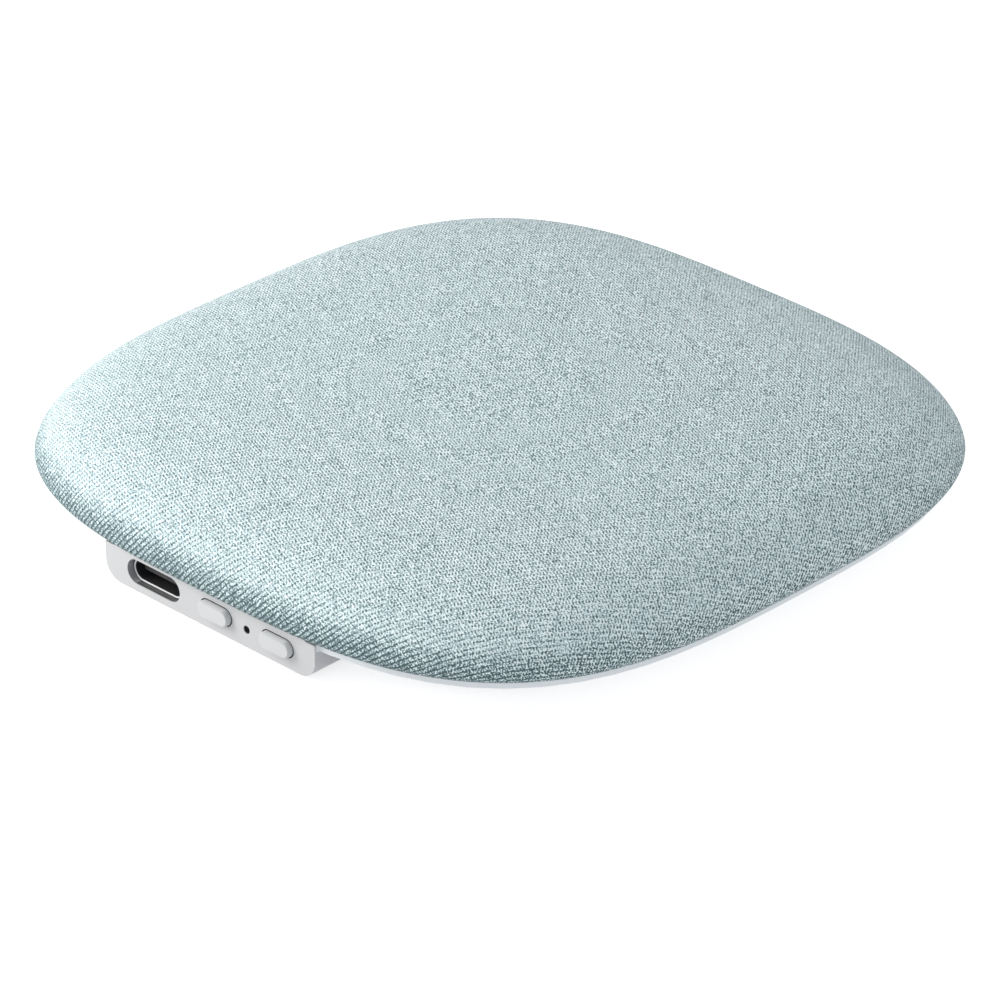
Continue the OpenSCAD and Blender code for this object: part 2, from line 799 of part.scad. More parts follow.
// Basket: a flange, a short wall and a vented floor round the magnet cup
module speaker_frame() {
    color(steel) difference() {
        union() {
            tube(driver_r, basket_r, basket_z, surround_z);
            tube(basket_r + basket_wall, basket_r, basket_floor_z, surround_z);
            tube(basket_r + basket_wall, yoke_r + 0.02, basket_floor_z, basket_floor_z + basket_wall);
            translate([speaker_plug_at.x - tab_size.x / 2, tab_y, tab_z - tab_size.z / 2]) cube(tab_size);
        }
        for (i = [0 : vent_count - 1])
            rotate(360 * (i + 0.5) / vent_count)
                post([(basket_r + yoke_r) / 2, 0], vent_r,
                     basket_floor_z - past, basket_floor_z + basket_wall + past);
    }
}

module speaker_yoke() {
    color("dimgray") difference() {
        union() {
            post([0, 0], yoke_r, yoke_z, yoke_top);
            tube(yoke_r + 0.8, yoke_r - 0.1, basket_floor_z - 0.6, basket_floor_z);
        }
        post([0, 0], yoke_r - yoke_wall, magnet_z, yoke_top + past);
    }
}

module speaker_magnet() {
    color("silver") post([0, 0], plate_r - 0.2, magnet_z, plate_z);
}

module speaker_top_plate() {
    color(steel) post([0, 0], plate_r, plate_z, yoke_top);
}

module voice_coil() {
    color("peru") tube(coil_r + coil_t, coil_r, coil_top - coil_h, coil_top);
}

// Shallow cone from the coil out to the surround
module speaker_cone() {
    inner_z = coil_top;
    outer_z = coil_top + cone_drop;
    color([0.16, 0.16, 0.17]) rotate_extrude() polygon([
        [coil_r, inner_z], [coil_r + coil_t, inner_z], [cone_r, outer_z],
        [cone_r, outer_z + cone_t], [coil_r + coil_t, inner_z + cone_t], [coil_r, inner_z + cone_t]]);
}

// Domed cap over the coil
module dust_cap() {
    base_z = coil_top + cone_t;
    cap_r = coil_r + coil_t;
    steps = 6;
    dome = [for (i = [0 : steps]) [cap_r * i / steps, base_z + cap_t + cap_rise * (1 - pow(i / steps, 2))]];
    under = [for (i = [steps : -1 : 0]) [dome[i].x, dome[i].y - cap_t]];
    color([0.12, 0.12, 0.13]) rotate_extrude() polygon(concat(dome, under));
}

// Rubber surround: a roll that hangs between the cone and a flat rim on the basket
module speaker_surround() {
    inner_r = cone_r + glue_gap;
    mid_r = (inner_r + basket_r) / 2;
    outer_roll = (basket_r - inner_r) / 2;
    color([0.1, 0.1, 0.1]) rotate_extrude() union() {
        translate([basket_r - 0.1, surround_z]) square([driver_r - basket_r + 0.1, rim_sheet_t]);
        intersection() {
            translate([mid_r, surround_z + rim_sheet_t]) difference() {
                circle(r = outer_roll);
                circle(r = outer_roll - rim_sheet_t);
            }
            translate([inner_r, surround_z - 3]) square([basket_r - inner_r, 3 + rim_sheet_t]);
        }
    }
}

module speaker_gasket() {
    color([0.25, 0.25, 0.26]) tube(driver_r, basket_r, gasket_z, disc_z);
}

// Part lying on the board's top
module chip(at, size) {
    translate([at.x - size.x / 2, at.y - size.y / 2, at.z]) cube(size);
}

// Rows of capacitors, each row starting at its own place
module board_capacitors() {
    step = 1.6 * capacitor_size.x;
    color("tan") for (row = capacitor_rows, i = [0 : row[2] - 1])
        chip(on_board(row[0], row[1]) + [i * step, 0, 0], capacitor_size);
}

fabric_cover();
foam_pad();
top_frame();
bottom_shell();
foot(corners[0]);  // foot_front_left
foot(corners[1]);  // foot_front_right
foot(corners[2]);  // foot_back_left
foot(corners[3]);  // foot_back_right
housing_screws();
board_screws();
main_board();
usb_shell();
usb_tongue();
usb_contacts();
button_cap(button_xs[0]);  // left_button
button_cap(button_xs[1]);  // right_button
switch_body(button_xs[0]);  // left_switch_body
switch_body(button_xs[1]);  // right_switch_body
switch_plunger(button_xs[0]);  // left_switch_plunger
switch_plunger(button_xs[1]);  // right_switch_plunger
microphone();
microphone_boot();
battery_cell();
battery_tape();
board_plug(battery_plug_at, -90);  // battery_connector
color("firebrick") battery_lead(lead_spread);  // battery_lead_red
color("black") battery_lead(-lead_spread);  // battery_lead_black
board_plug(speaker_plug_at, 0);  // speaker_connector
color("firebrick") speaker_lead(-lead_spread);  // speaker_lead_red
color("black") speaker_lead(lead_spread);  // speaker_lead_black
speaker_frame();
speaker_yoke();
speaker_magnet();
speaker_top_plate();
voice_coil();
speaker_cone();
dust_cap();
speaker_surround();
speaker_gasket();
color("black") chip(on_board(0, 0.55), bluetooth_size);  // bluetooth_chip
color("black") chip(on_board(-0.55, 0.65), amplifier_size);  // amplifier_chip
color("gray") chip(on_board(0.62, 0.6), inductor_size);  // power_inductor
color("silver") chip(on_board(0.26, 0.66), crystal_size);  // crystal
board_capacitors();
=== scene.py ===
"""Looks of the pillow speaker: knit cover, satin plastics, rubber, metal, floor, lights and camera."""

import math

import bpy
import numpy as np
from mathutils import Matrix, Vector


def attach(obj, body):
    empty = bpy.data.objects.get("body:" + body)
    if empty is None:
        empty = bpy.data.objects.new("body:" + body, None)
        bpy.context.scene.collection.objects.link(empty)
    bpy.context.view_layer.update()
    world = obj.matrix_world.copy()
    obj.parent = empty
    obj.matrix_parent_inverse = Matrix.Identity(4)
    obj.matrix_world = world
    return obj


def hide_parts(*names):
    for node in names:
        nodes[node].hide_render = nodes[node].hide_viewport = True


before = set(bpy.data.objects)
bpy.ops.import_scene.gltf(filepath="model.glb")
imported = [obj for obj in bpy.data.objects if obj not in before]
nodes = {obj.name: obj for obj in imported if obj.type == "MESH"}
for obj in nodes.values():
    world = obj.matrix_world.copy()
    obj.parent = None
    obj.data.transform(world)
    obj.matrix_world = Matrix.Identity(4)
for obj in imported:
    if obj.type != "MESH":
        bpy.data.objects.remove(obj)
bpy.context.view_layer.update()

MM = 0.001

# The cover's outline and profile, in millimetres, as the CAD model has them.
HALF_W = 52.0
SQUARENESS = 3.17
BULGE_Z = 6.75
HEM_Z = 5.5
SHOULDER_H = 7.24
CROWN_H = 2.0
SHOULDER_TURN = 10.3
SHOULDER_Q = 1.4
TUCK_IN = 1.4
HEM_W = 3.0
FABRIC_T = 0.8
# The hem: how far its underside hangs below HEM_Z, how far it reaches above, and its rounded outer edge.
HEM_SAG = 0.04
HEM_T = 0.45
HEM_ROUND = 0.35

# The knit's stitch lattice: cycles per millimetre of flat fabric, along X and Y.
LATTICE = np.array([[0.9, 2.35], [2.0, 1.6]])
# How the fabric stretches where it goes over the shoulder.
DRAPE = np.array([[1.28, -0.12], [-0.31, 1.13]])
# Places on the knit's ramp and their colours, from its darkest to its lightest tone.
KNIT_TONES = ((0, (0.095, 0.141, 0.153)), (0.15, (0.182, 0.25, 0.268)), (0.325, (0.332, 0.43, 0.457)),
              (0.5, (0.53, 0.657, 0.692)), (0.675, (0.78, 0.93, 0.965)), (0.8, (0.93, 0.99, 1.0)))
# Tone steps from end to end of that ramp, and the place of the mean tone.
TONE_SPAN = 200
MEAN_PLACE = 0.50
# Tone steps of the loops along each lattice axis and of the gaps between wales, where the fabric lies free.
FIRST_SWING = 45
SECOND_SWING = 27
GAP_DEPTH = 12
# What the full pull of the hem adds to them, and what it adds where it combs the wales apart.
FIRST_PULLED = -34
SECOND_PULLED = 35
SECOND_COMBED = -60
GAP_COMBED = 80
# Tone steps from stitch to stitch and along the yarn, and the share that combing takes away.
STITCH_SPREAD = 24
YARN_SPREAD = 490
YARN_COMBED = -0.4
# Millimetres above the widest line over which the pull fades, and where the painted hem shade ends.
PULL_FADE = 7
HEM_SHADE_REACH = 3.5
# How much the painted hem shade raises the loops' contrast, and its deepest painted shade in tone steps.
HEM_SHADE_CONTRAST = 0.7
HEM_SHADE_DEPTH = 88
# Contrast of the knit at the centre, and how much it rises towards +X +Y, as painted light: lower on the
# side the key lamp lights strongly, higher where its light grazes.
CONTRAST = 1.05
PAINTED_LIGHT_CONTRAST_RISE = 0.40
# Tone steps that make up the full height of the relief.
RELIEF_SPAN = 140
# How strongly the wales open into ribs at the back and sides, and how deep the painted hem shade lies
# there, where the front edge has 1 for both.
RIBS_AND_SHADE_LEAST = 0.35

# Front wall of the port block, the area that holds its openings, and the rim, in millimetres.
FACE_Y = -50.8
WALL_BACK_Y = -49.2
BLOCK_HALF_W = 18.7
OPENINGS_HALF_W = 18
OPENINGS_Z = (1.2, 5.1)
POCKET_END_X = -13.2
RIM_Z = (4.5, 5.7)
# Near black: painted shade in the gaps and hollows behind that wall, and the microphone's own black.
BLACK_AND_PAINTED_SHADE = (0.03, 0.03, 0.033)

# Strength of the even light from all round.
SKY = 0.63

# The camera of the photograph, solved from the outline of the speaker.
CAMERA_AZIMUTH = 44.3436
CAMERA_ELEVATION = 28.3628
CAMERA_DISTANCE = 732.6 * MM
CAMERA_TARGET = Vector((0, 0, 4.55 * MM))
CAMERA_LENS = 207.05
CAMERA_SHIFT = (0.0004, -0.0432)


# Camera


def add_camera():
    azimuth = math.radians(CAMERA_AZIMUTH)
    elevation = math.radians(CAMERA_ELEVATION)
    back = Vector((
        math.sin(azimuth) * math.cos(elevation),
        -math.cos(azimuth) * math.cos(elevation),
        math.sin(elevation),
    ))
    camera = bpy.data.objects.new("camera", bpy.data.cameras.new("camera"))
    bpy.context.scene.collection.objects.link(camera)
    camera.location = CAMERA_TARGET + back * CAMERA_DISTANCE
    camera.rotation_euler = back.to_track_quat("Z", "Y").to_euler()
    camera.data.lens = CAMERA_LENS
    camera.data.sensor_width = 36
    camera.data.shift_x, camera.data.shift_y = CAMERA_SHIFT
    camera.data.clip_start = 0.01
    bpy.context.scene.camera = camera


# Materials


class Tree:
    """A node tree, with short calls for the nodes that the materials and the world share."""

    def __init__(self, tree):
        self.tree = tree

    def node(self, kind, **settings):
        made = self.tree.nodes.new(kind)
        for name, value in settings.items():
            setattr(made, name, value)
        return made

    def link(self, source, target):
        self.tree.links.new(source, target)

    def math(self, operation, *values):
        made = self.node("ShaderNodeMath", operation=operation)
        for index, value in enumerate(values):
            if isinstance(value, (int, float)):
                made.inputs[index].default_value = value
            else:
                self.link(value, made.inputs[index])
        return made.outputs[0]

    def seen(self):
        """1 where the camera sees a surface directly, in a mirror or through glass, else 0."""
        path = self.node("ShaderNodeLightPath").outputs
        direct = self.math("MAXIMUM", path["Is Camera Ray"], path["Is Glossy Ray"])
        return self.math("MAXIMUM", direct, path["Is Transmission Ray"])


class Shader(Tree):
    """A material around one Principled shader."""

    def __init__(self, name, roughness, **sockets):
        self.material = bpy.data.materials.new(name)
        self.material.use_nodes = True
        super().__init__(self.material.node_tree)
        self.surface = self.tree.nodes["Principled BSDF"]
        self.surface.inputs["Roughness"].default_value = roughness
        for socket, value in sockets.items():
            self.surface.inputs[socket.replace("_", " ")].default_value = value

    def position(self):
        return self.node("ShaderNodeTexCoord").outputs["Object"]

    def noise(self, vector, scale, detail=2.0, roughness=0.5):
        made = self.node("ShaderNodeTexNoise")
        made.inputs["Scale"].default_value = scale
        made.inputs["Detail"].default_value = detail
        made.inputs["Roughness"].default_value = roughness
        self.link(vector, made.inputs["Vector"])
        return made.outputs["Fac"]

    def ramp(self, factor, *stops):
        made = self.node("ShaderNodeValToRGB")
        elements = made.color_ramp.elements
        while len(elements) < len(stops):
            elements.new(0.5)
        for element, (place, colour) in zip(elements, stops):
            element.position = place
            element.color = (*colour, 1)
        self.link(factor, made.inputs["Fac"])
        return made.outputs["Color"]

    def spread(self, value, low, high):
        """Stretches 0 to 1 over low to high."""
        made = self.node("ShaderNodeMapRange")
        made.inputs["To Min"].default_value = low
        made.inputs["To Max"].default_value = high
        self.link(value, made.inputs["Value"])
        return made.outputs["Result"]

    def bump(self, height, strength, distance):
        made = self.node("ShaderNodeBump")
        made.inputs["Strength"].default_value = strength
        made.inputs["Distance"].default_value = distance
        self.link(height, made.inputs["Height"])
        self.link(made.outputs["Normal"], self.surface.inputs["Normal"])

    def inside(self, low, high):
        """1 inside a box with the given corners, in millimetres, else 0."""
        parts = self.node("ShaderNodeSeparateXYZ")
        self.link(self.position(), parts.inputs[0])
        within = [self.math("COMPARE", axis, (a + b) / 2 * MM, (b - a) / 2 * MM)
                  for axis, a, b in zip(parts.outputs, low, high)]
        return self.math("MULTIPLY", self.math("MULTIPLY", within[0], within[1]), within[2])

    def blend(self, factor, first, second):
        """Mixes a colour socket with a plain colour."""
        made = self.node("ShaderNodeMix", data_type="RGBA")
        self.link(factor, made.inputs["Factor"])
        self.link(first, made.inputs[6])
        made.inputs[7].default_value = (*second, 1)
        return made.outputs[2]

    def paint(self, colour):
        self.link(colour, self.surface.inputs["Base Color"])


def shade(colour, factor):
    return tuple(min(1.0, channel * factor) for channel in colour)


def plastic(name, colour, roughness=0.4, grain=0.02, specular=0.5, zones=(), **sockets):
    """Moulded plastic: a fine spark texture, with faint cloudiness in colour and gloss.

    Each zone is a box, as two corners in millimetres, and the colour of the plastic inside it.
    """
    made = Shader(name, roughness, Specular_IOR_Level=specular, **sockets)
    place = made.position()
    cloud = made.noise(place, 90, 3)
    body = made.ramp(cloud, (0.3, shade(colour, 0.975)), (0.7, shade(colour, 1.015)))
    for low, high, tone in zones:
        body = made.blend(made.inside(low, high), body, tone)
    made.paint(body)
    made.link(made.spread(made.noise(place, 900, 2), roughness * 0.85, roughness * 1.15),
              made.surface.inputs["Roughness"])
    made.bump(made.noise(place, 5000, 2), grain, 0.0001)
    return made.material


def metal(name, colour, roughness=0.3, brushed=(1, 1, 1), strength=0.05):
    """Metal with fine drawn lines; brushed stretches the lines along the axis with the small number."""
    made = Shader(name, roughness, Metallic=1.0)
    mapping = made.node("ShaderNodeMapping")
    mapping.inputs["Scale"].default_value = brushed
    made.link(made.position(), mapping.inputs["Vector"])
    lines = made.noise(mapping.outputs["Vector"], 3000, 3, 0.6)
    made.paint(made.ramp(lines, (0.3, shade(colour, 0.9)), (0.7, shade(colour, 1.05))))
    made.link(made.spread(lines, roughness * 0.8, roughness * 1.25), made.surface.inputs["Roughness"])
    made.bump(lines, strength, 0.0001)
    return made.material


def rubber(name, colour, roughness=0.75):
    """Matte rubber with a fine pebble."""
    made = Shader(name, roughness, Specular_IOR_Level=0.3)
    place = made.position()
    pebble = made.noise(place, 400, 3)
    made.paint(made.ramp(pebble, (0.35, shade(colour, 0.9)), (0.65, shade(colour, 1.08))))
    made.bump(made.noise(place, 2500, 3), 0.12, 0.0002)
    return made.material


def laminate(name):
    """Green solder resist with the shadow of its copper tracks."""
    made = Shader(name, 0.35)
    tracks = made.node("ShaderNodeTexBrick")
    tracks.inputs["Scale"].default_value = 320
    tracks.inputs["Mortar Size"].default_value = 0.03
    tracks.inputs["Color1"].default_value = (0.012, 0.10, 0.045, 1)
    tracks.inputs["Color2"].default_value = (0.016, 0.13, 0.06, 1)
    tracks.inputs["Mortar"].default_value = (0.03, 0.21, 0.09, 1)
    made.link(made.position(), tracks.inputs["Vector"])
    made.paint(tracks.outputs["Color"])
    made.bump(tracks.outputs["Fac"], 0.2, 0.0001)
    return made.material


class Knit(Shader):
    """Heathered knit, its tones worked out in steps of 0 to 255 about the mean tone.

    The mesh carries the counts of the stitch lattice and the distance from the widest line, in
    millimetres, in "stitch", and in a second attribute how strongly the pull opens the gaps between
    wales and how deep the painted hem shade lies.
    """

    def __init__(self, name):
        super().__init__(name, 0.9, Specular_IOR_Level=0.15, Sheen_Weight=0.1, Sheen_Roughness=0.5)
        parts = self.node("ShaderNodeSeparateXYZ")
        self.link(self.attribute("stitch", "Vector"), parts.inputs[0])
        first, second, above = parts.outputs
        # Yarn wobble, so that no two stitches line up exactly.
        first = self.total(first, self.clouds(300, 0.5))
        second = self.total(second, self.clouds(260, 0.5))

        ribs_and_shade = self.attribute("ribs_and_shade", "Fac")
        pull = self.math("MINIMUM", self.math("EXPONENT", self.math("DIVIDE", above, -PULL_FADE)), 1)
        combed = self.math("MULTIPLY", pull, ribs_and_shade)
        stitches = self.total(self.loops(first, second, pull, combed), self.gaps(first, second, combed))
        # The tone also drifts a little, over patches and over wider clouds.
        level = self.total(stitches, self.yarn(first, second, combed))
        level = self.total(level, self.clouds(650, 16), self.clouds(200, 12))

        # Painted shade near the hem: from the widest line down, the loops' contrast is raised and the tone
        # is pushed down to a dark ground, deepest on the front edge.
        hem_shade_mask = self.hem_shade_mask(above)
        level = self.math("MULTIPLY", level, self.math("MULTIPLY_ADD", hem_shade_mask, HEM_SHADE_CONTRAST, 1))
        # Painted light: the stitches' contrast rises from the key lamp's side towards +X +Y.
        level = self.math("MULTIPLY", level, self.contrast())
        # The dark ground of the painted hem shade.
        painted_hem_shade = self.math("MULTIPLY", self.math("MULTIPLY", hem_shade_mask, ribs_and_shade), HEM_SHADE_DEPTH)
        level = self.math("SUBTRACT", level, painted_hem_shade)
        self.paint(self.ramp(self.math("MULTIPLY_ADD", level, 1 / TONE_SPAN, MEAN_PLACE), *KNIT_TONES))
        # The relief follows the stitches, with a little fuzz.
        relief = self.math("DIVIDE", stitches, RELIEF_SPAN)
        self.bump(self.total(relief, self.clouds(5000, 0.4)), 1.0, 0.0001)

    def attribute(self, name, output):
        return self.node("ShaderNodeAttribute", attribute_name=name).outputs[output]

    def clouds(self, scale, amount):
        """Noise about 0 that spans the given amount."""
        noise = self.noise(self.position(), scale, 1.0)
        return self.math("MULTIPLY", self.math("SUBTRACT", noise, 0.5), amount)

    def wave(self, count):
        return self.math("COSINE", self.math("MULTIPLY", count, 2 * math.pi))

    def total(self, value, *others):
        for other in others:
            value = self.math("ADD", value, other)
        return value

    def contrast(self):
        """Contrast by the place along the line from -X -Y to +X +Y; its rise is painted light, lower where
        the key lamp lights strongly and higher where its light grazes.
        """
        across = self.node("ShaderNodeVectorMath", operation="DOT_PRODUCT")
        self.link(self.position(), across.inputs[0])
        across.inputs[1].default_value = (0.5 / HALF_W / MM, 0.5 / HALF_W / MM, 0)
        return self.math("MULTIPLY_ADD", across.outputs["Value"], PAINTED_LIGHT_CONTRAST_RISE, CONTRAST)

    def hem_shade_mask(self, above):
        """1 at the widest line and below it, fading to 0 where the painted hem shade ends."""
        fading = self.math("MAXIMUM", self.math("MULTIPLY_ADD", above, -1 / HEM_SHADE_REACH, 1), 0)
        return self.math("SMOOTH_MIN", fading, 1, 0.2)

    def loops(self, first, second, pull, combed):
        """Tone of the loops, which the pull flattens."""
        first_swing = self.math("MULTIPLY_ADD", pull, FIRST_PULLED, FIRST_SWING)
        second_swing = self.total(self.math("MULTIPLY_ADD", pull, SECOND_PULLED, SECOND_SWING),
                                  self.math("MULTIPLY", combed, SECOND_COMBED))
        return self.total(self.math("MULTIPLY", self.wave(first), first_swing),
                          self.math("MULTIPLY", self.wave(second), second_swing))

    def gaps(self, first, second, combed):
        """Tone of the dark gaps between wales, which the pull opens."""
        wale = self.math("SUBTRACT", second, first)
        gap = self.math("POWER", self.math("MULTIPLY_ADD", self.wave(wale), 0.5, 0.5), 4)
        depth = self.math("MULTIPLY_ADD", combed, GAP_COMBED, GAP_DEPTH)
        # A gap's mean over one wale is 0.27, so that the gaps keep the mean tone.
        return self.math("MULTIPLY", self.math("SUBTRACT", 0.27, gap), depth)

    def yarn(self, first, second, combed):
        """Each stitch has its own tone, and so has each stretch of yarn."""
        cell = self.node("ShaderNodeCombineXYZ")
        self.link(self.math("FLOOR", first), cell.inputs[0])
        self.link(self.math("FLOOR", second), cell.inputs[1])
        tone = self.node("ShaderNodeTexWhiteNoise", noise_dimensions="2D")
        self.link(cell.outputs[0], tone.inputs["Vector"])
        fleck = self.math("MULTIPLY", self.math("SUBTRACT", tone.outputs["Value"], 0.5), STITCH_SPREAD)
        kept = self.math("MULTIPLY_ADD", combed, YARN_COMBED, 1)
        return self.math("MULTIPLY", self.total(fleck, self.clouds(4800, YARN_SPREAD)), kept)


# Meshes


def squircle_reach(angle):
    return (np.abs(np.cos(angle)) ** SQUARENESS + np.abs(np.sin(angle)) ** SQUARENESS) ** (-1 / SQUARENESS)


def cover_z(share):
    """Height of the cover at a share of its half width, in millimetres."""
    shoulder = SHOULDER_H * (1 - share ** SHOULDER_TURN) ** (1 / SHOULDER_Q)
    return BULGE_Z + shoulder + CROWN_H * (1 - share ** 2)


def cover_profile():
    """(half width, height) pairs of the cover, from the crown down and in under the hem."""
    share = 1 - np.linspace(0.995, 0, 74) ** 2
    pairs = [(HALF_W * s, cover_z(s)) for s in share]
    for turn in np.linspace(0, 1, 12)[1:]:
        fall = math.sin(math.radians(90 * turn))
        half = HALF_W - TUCK_IN * (1 - math.sqrt(1 - fall ** 2))
        pairs.append((half, BULGE_Z - (BULGE_Z - HEM_Z) * fall))
    hem_half = HALF_W - TUCK_IN - HEM_W
    pairs += [(HALF_W - TUCK_IN - HEM_ROUND, HEM_Z - HEM_SAG), (hem_half, HEM_Z - HEM_SAG),
              (hem_half, HEM_Z + HEM_T), (HALF_W - TUCK_IN - FABRIC_T, HEM_Z + HEM_T)]
    return pairs


def mesh_object(name, vertices, faces, material):
    data = bpy.data.meshes.new(name)
    data.from_pydata(vertices, [], faces)
    data.materials.append(material)
    made = bpy.data.objects.new(name, data)
    bpy.context.scene.collection.objects.link(made)
    return made


def ring_lengths(profile):
    """Length along the cover's profile from the crown to each of its rings."""
    steps = np.diff(np.array([(0, profile[0][1]), *profile]), axis=0)
    return np.cumsum(np.hypot(*steps.T))


def drape_knit(points, halves, lengths, widest):
    """The knit's attributes "stitch" and "ribbed" at points on rings of given half widths and lengths."""
    plan = points[:, :2].T
    normal = np.sign(plan) * np.abs(plan) ** (SQUARENESS - 1)
    normal /= np.hypot(*normal)
    # The fabric lies flat on the top, and what the shoulder takes up runs outwards.
    counts = LATTICE @ (plan + (lengths - halves) * (DRAPE @ normal))
    # The front edge opens its ribs most and takes the deepest painted hem shade.
    ribs_and_shade = RIBS_AND_SHADE_LEAST + (1 - RIBS_AND_SHADE_LEAST) * np.maximum(-normal[1], 0)
    return np.stack([*counts, widest - lengths], axis=1), ribs_and_shade


def add_cover():
    profile = cover_profile()
    around = 960
    angle = np.arange(around) * 2 * math.pi / around
    reach = squircle_reach(angle)
    # The crown's rings have fewer points than the shoulder's, so that its faces stay even.
    rings, vertices, faces, rows = [], [], [], []
    for row, (half, z) in enumerate(profile):
        step = 8 if half < 14 else 4 if half < 30 else 2
        ring = []
        for i in range(0, around, step):
            ring.append(len(vertices))
            rows.append(row)
            vertices.append((half * reach[i] * math.cos(angle[i]), half * reach[i] * math.sin(angle[i]), z))
        rings.append(ring)
    for upper, lower in zip(rings, rings[1:]):
        ratio = len(lower) // len(upper)
        for i, corner in enumerate(upper):
            after = upper[(i + 1) % len(upper)]
            span = [lower[(i * ratio + k) % len(lower)] for k in range(ratio + 1)]
            faces.append((corner, *span, after))
    faces.append(tuple(rings[0]))
    points = np.array(vertices)
    cover = mesh_object("knit_cover", (points * MM).tolist(), faces, Knit("knit").material)
    cover.data.shade_smooth()
    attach(cover, "housing")
    halves, lengths = np.array(profile)[:, 0], ring_lengths(profile)
    stitch, ribs_and_shade = drape_knit(points, halves[rows], lengths[rows], lengths[halves.argmax()])
    attributes = cover.data.attributes
    attributes.new("stitch", "FLOAT_VECTOR", "POINT").data.foreach_set("vector", stitch.ravel())
    attributes.new("ribs_and_shade", "FLOAT", "POINT").data.foreach_set("value", ribs_and_shade)
    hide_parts("fabric_cover")


# CAD nodes keep their shapes and get their finishes here.


def finish_nodes():
    # The shell is one plastic in lit and shaded copies: the rim is painted as a lit cool white, the body
    # and the block's face as a shaded grey.
    base_painted_shade, face_painted_shade, rim_painted_light = (0.56, 0.56, 0.59), (0.555, 0.555, 0.57), (0.87, 0.895, 0.93)
    # Painted shade inside the front wall's openings: near black on their walls, mid grey on the pocket's
    # left end wall.
    openings_painted_shade, pocket_end_painted_shade = (0.06, 0.06, 0.063), (0.34, 0.34, 0.355)
    black = (0.02, 0.02, 0.022)
    # The painted shade zones start a little behind the face, so that cut edges keep the face's tone.
    low, high = OPENINGS_Z
    cut_y = FACE_Y + 0.12
    shell_zones = (
        ((-HALF_W, -HALF_W, RIM_Z[0]), (HALF_W, HALF_W, RIM_Z[1]), rim_painted_light),
        ((-BLOCK_HALF_W, FACE_Y - 1, 0), (BLOCK_HALF_W, FACE_Y + 0.3, RIM_Z[1]), face_painted_shade),
        ((POCKET_END_X, cut_y, low), (OPENINGS_HALF_W, WALL_BACK_Y, high), openings_painted_shade),
        ((-OPENINGS_HALF_W, cut_y, low), (POCKET_END_X, WALL_BACK_Y, high), pocket_end_painted_shade),
    )
    # Painted shade: the buttons' sides behind the face and the steel shell deeper than its mouth are
    # painted near black.
    button_sides_painted_shade = ((-OPENINGS_HALF_W, FACE_Y + 0.03, 0), (OPENINGS_HALF_W, WALL_BACK_Y + 3, 6), BLACK_AND_PAINTED_SHADE)
    port_depth_painted_shade = ((-OPENINGS_HALF_W, FACE_Y + 0.98, 0), (OPENINGS_HALF_W, FACE_Y + 10, 6), BLACK_AND_PAINTED_SHADE)
    finishes = {
        plastic("shell_plastic", base_painted_shade, 0.38, 0.03, 0.9, zones=shell_zones): ["bottom_shell"],
        plastic("frame_plastic", (0.62, 0.62, 0.63), 0.5): ["top_frame"],
        plastic("button_plastic", (0.625, 0.63, 0.64), 0.35, 0.0, zones=(button_sides_painted_shade,)):
            ["left_button", "right_button"],
        rubber("foot_rubber", (0.36, 0.37, 0.39)):
            ["foot_front_left", "foot_front_right", "foot_back_left", "foot_back_right"],
        # Painted reflection: the steel shell is a near-white matte plastic, so that its mouth reads bright.
        plastic("port_steel", (0.96, 0.97, 0.99), 0.3, 0.0, zones=(port_depth_painted_shade,)): ["usb_shell"],
        plastic("port_insulator", black, 0.45): ["usb_tongue"],
        metal("contact_gold", (0.95, 0.70, 0.32), 0.25, (1, 0.1, 1)): ["usb_contacts"],
        metal("screw_steel", (0.66, 0.67, 0.69), 0.3): ["housing_screws", "board_screws"],
        laminate("board_laminate"): ["main_board"],
        plastic("switch_plastic", (0.03, 0.03, 0.032), 0.5): ["left_switch_body", "right_switch_body"],
        plastic("plunger_plastic", (0.78, 0.74, 0.62), 0.45):
            ["left_switch_plunger", "right_switch_plunger"],
        plastic("capsule_mesh", BLACK_AND_PAINTED_SHADE, 0.6, 0.3): ["microphone"],
        rubber("boot_rubber", (0.03, 0.03, 0.03)): ["microphone_boot"],
        metal("pouch", (0.70, 0.71, 0.73), 0.42, (1, 0.2, 1), 0.1): ["battery_cell"],
        plastic("tape", (0.70, 0.64, 0.45), 0.7): ["battery_tape"],
        plastic("plug_plastic", (0.82, 0.79, 0.68), 0.45): ["battery_connector", "speaker_connector"],
        plastic("lead_red", (0.50, 0.02, 0.015), 0.4): ["battery_lead_red", "speaker_lead_red"],
        plastic("lead_black", (0.015, 0.015, 0.016), 0.4): ["battery_lead_black", "speaker_lead_black"],
        plastic("basket_steel", (0.20, 0.205, 0.215), 0.4, 0.05): ["speaker_frame"],
        metal("yoke_steel", (0.55, 0.56, 0.58), 0.35): ["speaker_yoke", "speaker_top_plate"],
        metal("magnet_nickel", (0.70, 0.70, 0.72), 0.12): ["speaker_magnet"],
        metal("coil_copper", (0.80, 0.38, 0.18), 0.3, (0.2, 0.2, 1)): ["voice_coil"],
        rubber("cone_film", (0.035, 0.035, 0.038), 0.6): ["speaker_cone", "dust_cap"],
        rubber("surround_rubber", (0.018, 0.018, 0.018), 0.5): ["speaker_surround"],
        rubber("gasket_foam", (0.06, 0.06, 0.065), 0.95): ["speaker_gasket"],
        rubber("foam", (0.12, 0.12, 0.125), 0.95): ["foam_pad"],
        plastic("chip_black", black, 0.55, 0.06): ["bluetooth_chip", "amplifier_chip"],
        plastic("inductor_ferrite", (0.10, 0.10, 0.105), 0.6, 0.08): ["power_inductor"],
        metal("crystal_can", (0.74, 0.75, 0.76), 0.25): ["crystal"],
        plastic("capacitor_ceramic", (0.40, 0.27, 0.15), 0.35): ["board_capacitors"],
    }
    for material, names in finishes.items():
        for name in names:
            slots = nodes[name].material_slots
            for entry in slots:
                entry.material = material
            if not slots:
                nodes[name].data.materials.append(material)


# Stage


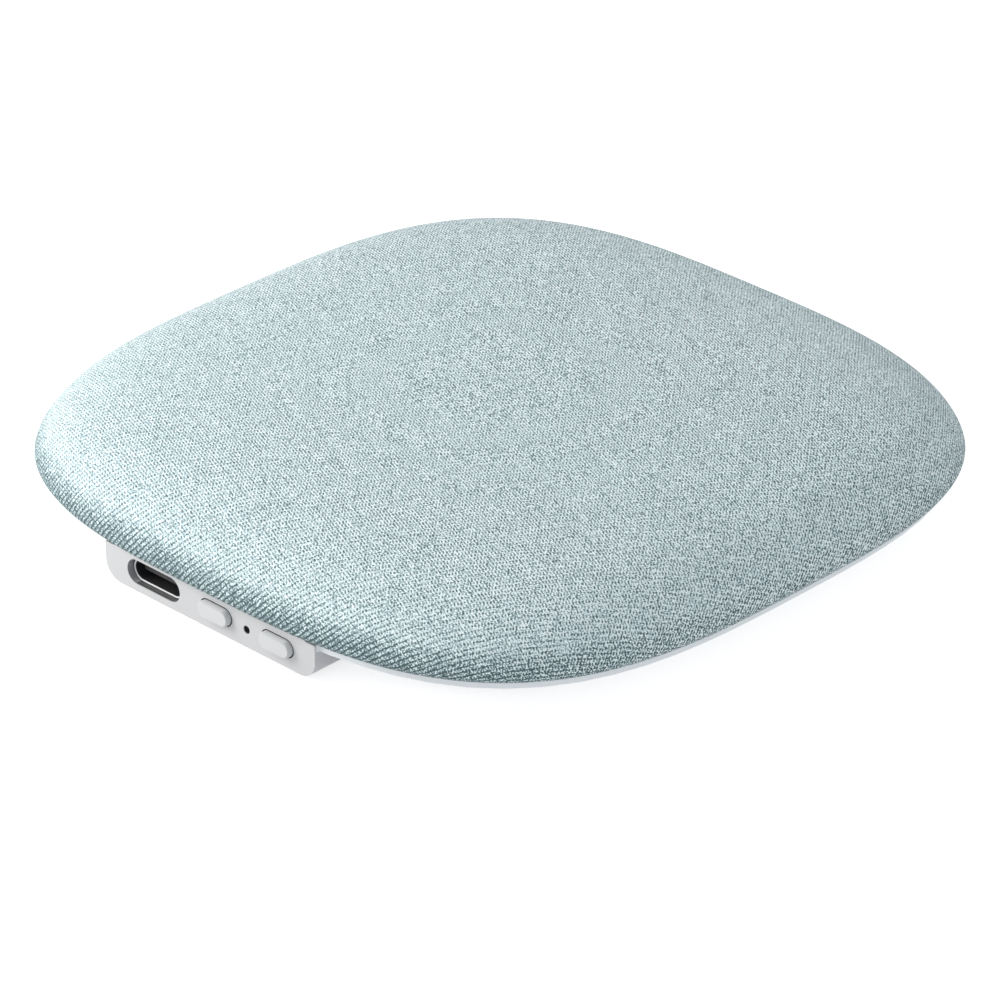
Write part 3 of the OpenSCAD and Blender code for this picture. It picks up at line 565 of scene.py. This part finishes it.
def add_floor():
    size = 3.0
    # A hair under the feet, which stand on Z = 0.
    z = -0.02 * MM
    corners = [(-size, -size, z), (size, -size, z), (size, size, z), (-size, size, z)]
    made = Shader("floor", 0.9, Specular_IOR_Level=0.0)
    made.surface.inputs["Base Color"].default_value = (0.8, 0.8, 0.8, 1)
    made.surface.inputs["Emission Color"].default_value = (1, 1, 1, 1)
    made.link(made.math("MULTIPLY", made.seen(), 0.68), made.surface.inputs["Emission Strength"])
    mesh_object("floor", corners, [(0, 1, 2, 3)], made.material)


def add_area(name, azimuth, elevation, distance, size, strength, colour):
    """Round lamp that faces the object; its strength is what it adds to a white surface facing it."""
    lamp = bpy.data.lights.new(name, "AREA")
    lamp.shape = "DISK"
    lamp.size = size
    lamp.energy = strength * (math.pi * distance) ** 2
    lamp.color = colour
    made = bpy.data.objects.new(name, lamp)
    bpy.context.scene.collection.objects.link(made)
    turn, rise = math.radians(azimuth), math.radians(elevation)
    away = Vector((math.cos(turn) * math.cos(rise), math.sin(turn) * math.cos(rise), math.sin(rise)))
    made.location = away * distance
    made.rotation_euler = away.to_track_quat("Z", "Y").to_euler()
    made.visible_camera = False


def add_lights():
    world = bpy.data.worlds.new("world")
    bpy.context.scene.world = world
    world.use_nodes = True
    made = Tree(world.node_tree)
    sky = made.tree.nodes["Background"]
    sky.inputs["Color"].default_value = (0.955, 1, 1.02, 1)
    sky.inputs["Strength"].default_value = SKY
    backdrop = made.node("ShaderNodeBackground")
    backdrop.inputs["Color"].default_value = (1, 1, 1, 1)
    both = made.node("ShaderNodeMixShader")
    made.link(made.seen(), both.inputs[0])
    made.link(sky.outputs[0], both.inputs[1])
    made.link(backdrop.outputs[0], both.inputs[2])
    made.link(both.outputs[0], made.tree.nodes["World Output"].inputs["Surface"])
    # The key stands at the photograph's left, and the fill keeps the rim white on the right.
    add_area("key", -137, 30, 0.30, 0.16, 0.73, (1.03, 1, 0.965))
    add_area("fill", 5, 12, 0.50, 0.20, 0.09, (0.97, 1, 1.02))


add_camera()
finish_nodes()
add_cover()
add_floor()
add_lights()
bpy.context.scene.view_settings.view_transform = "Standard"
